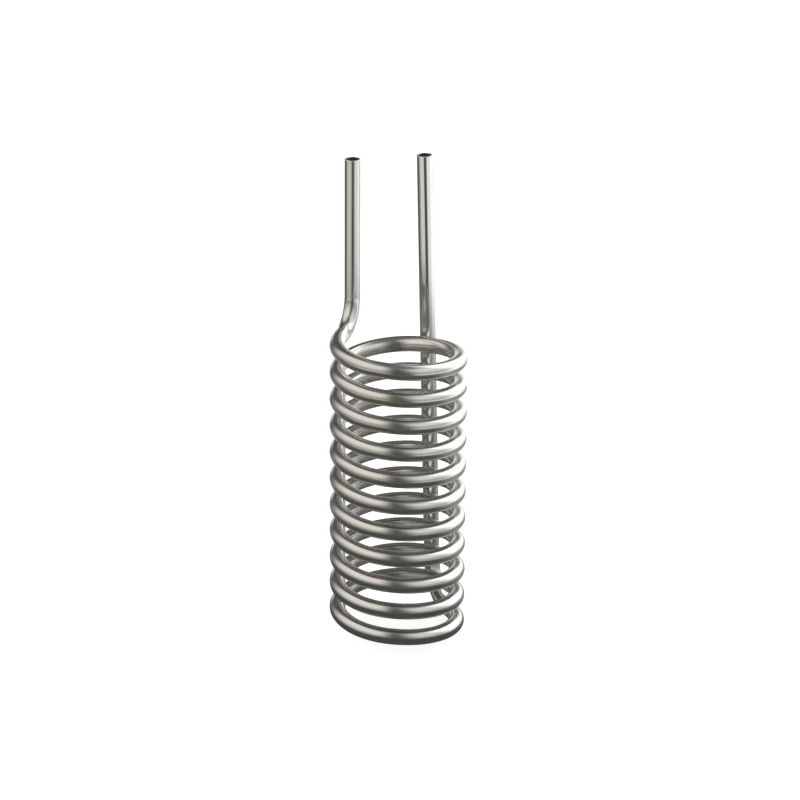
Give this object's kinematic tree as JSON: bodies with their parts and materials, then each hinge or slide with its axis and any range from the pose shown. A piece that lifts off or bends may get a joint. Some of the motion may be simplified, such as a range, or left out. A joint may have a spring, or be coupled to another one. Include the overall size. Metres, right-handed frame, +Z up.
{
  "type": "immersion wort chiller",
  "caption": "Open helical coil of bent stainless tube with two upright open-ended risers, lowered into hot wort while cold water runs through it.",
  "frame": {"origin": "under the middle of the object, level with the lowest point of the tube, which is in the bend behind the coil", "axes": "+Z up along the coil's axis and the supply riser; the front of the coil faces -Y, and both risers stand at the back, +Y, with the supply riser at the left (-X) and the return riser at the right (+X)"},
  "size_m": [0.085, 0.094, 0.2995],
  "materials": {
    "stainless_tube": "satin"
  },
  "bodies": {
    "root": {"supply_riser": "stainless_tube", "supply_bend": "stainless_tube", "turn_01": "stainless_tube", "turn_02": "stainless_tube", "turn_03": "stainless_tube", "turn_04": "stainless_tube", "turn_05": "stainless_tube", "turn_06": "stainless_tube", "turn_07": "stainless_tube", "turn_08": "stainless_tube", "turn_09": "stainless_tube", "turn_10": "stainless_tube", "turn_11": "stainless_tube", "return_bend": "stainless_tube", "return_riser": "stainless_tube"}
  },
  "joints": []
}
